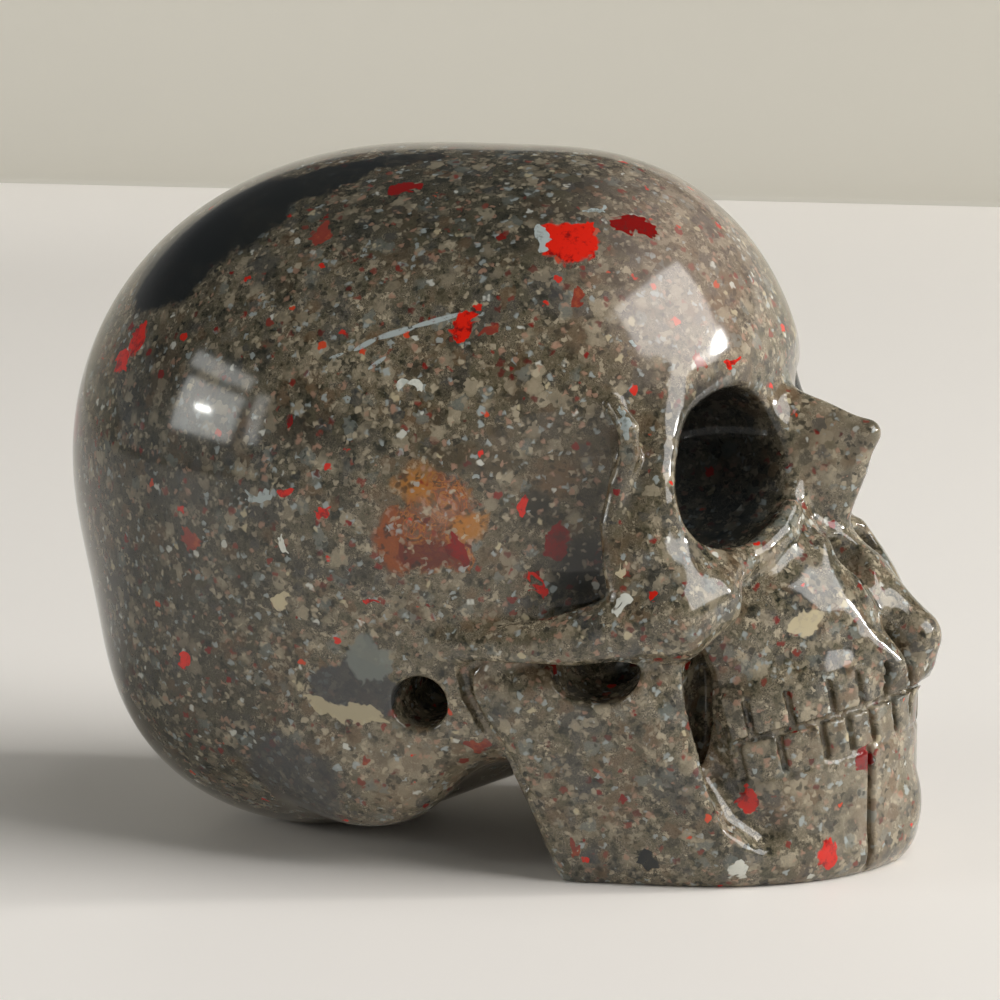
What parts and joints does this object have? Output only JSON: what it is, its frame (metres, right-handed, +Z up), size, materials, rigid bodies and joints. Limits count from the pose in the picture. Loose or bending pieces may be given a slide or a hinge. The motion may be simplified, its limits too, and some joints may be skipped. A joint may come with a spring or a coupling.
{
  "type": "stone skull carving",
  "caption": "Small human skull carved from one piece of speckled bloodstone and polished, with hollowed eye sockets, engraved teeth and a base ground flat to stand on.",
  "frame": {"origin": "on the table, at the middle of the length and width of the skull's bounding box", "axes": "+Z up, -Y the way the face looks, +X the skull's left, so the two halves mirror across X = 0"},
  "size_m": [0.0348, 0.0494, 0.0376],
  "materials": {
    "stone": "polished, grey-brown with fine pale, dark and red grains"
  },
  "bodies": {
    "root": {"skull": "stone"}
  },
  "joints": []
}
